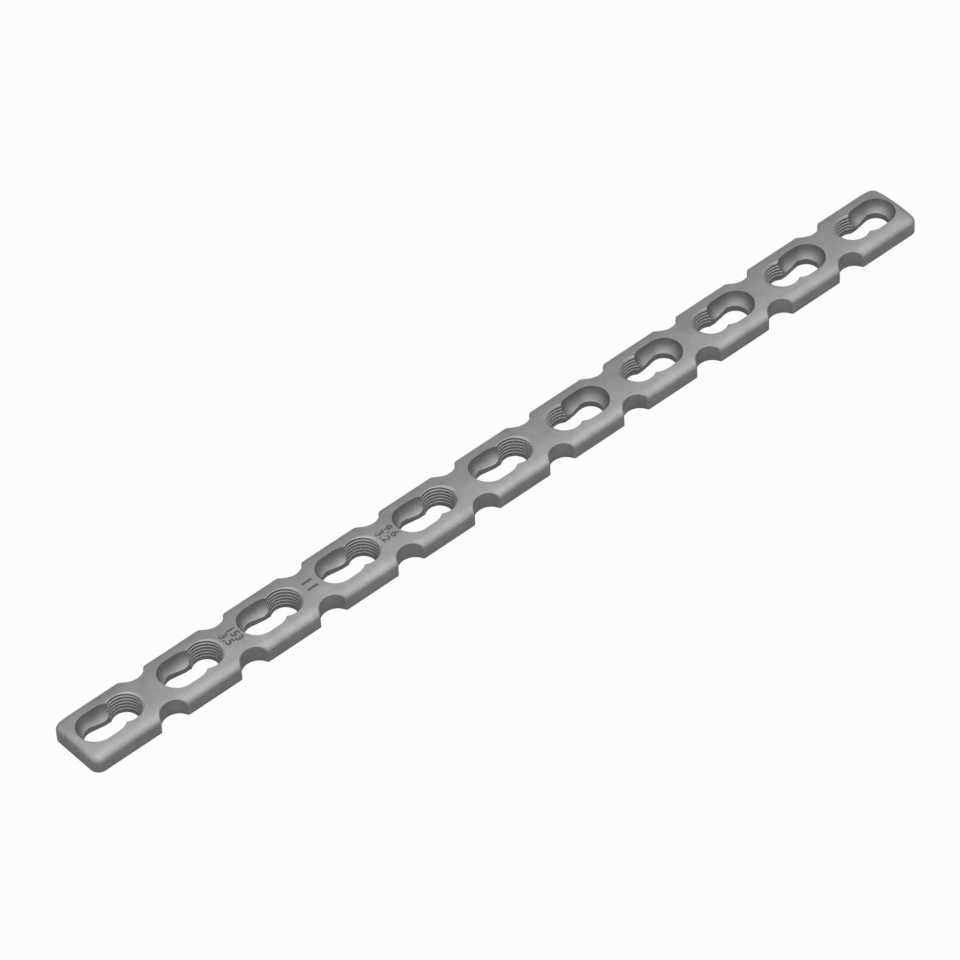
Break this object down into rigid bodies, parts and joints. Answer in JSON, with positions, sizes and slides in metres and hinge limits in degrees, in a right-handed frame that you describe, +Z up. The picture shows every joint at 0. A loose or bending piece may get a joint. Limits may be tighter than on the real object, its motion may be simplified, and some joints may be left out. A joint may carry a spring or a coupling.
{
  "type": "orthopedic bone plate",
  "caption": "Straight locking reconstruction plate for fixing fractured bone, with combination screw holes and scalloped edges that let it bend in its own plane",
  "frame": {"origin": "middle of the underside", "axes": "+X along the plate, +Y across it, +Z up from the underside to the crowned top"},
  "size_m": [0.153, 0.0096, 0.0032],
  "materials": {
    "plate": "satin blasted titanium"
  },
  "bodies": {
    "root": {"bone_plate": "plate"}
  },
  "joints": []
}
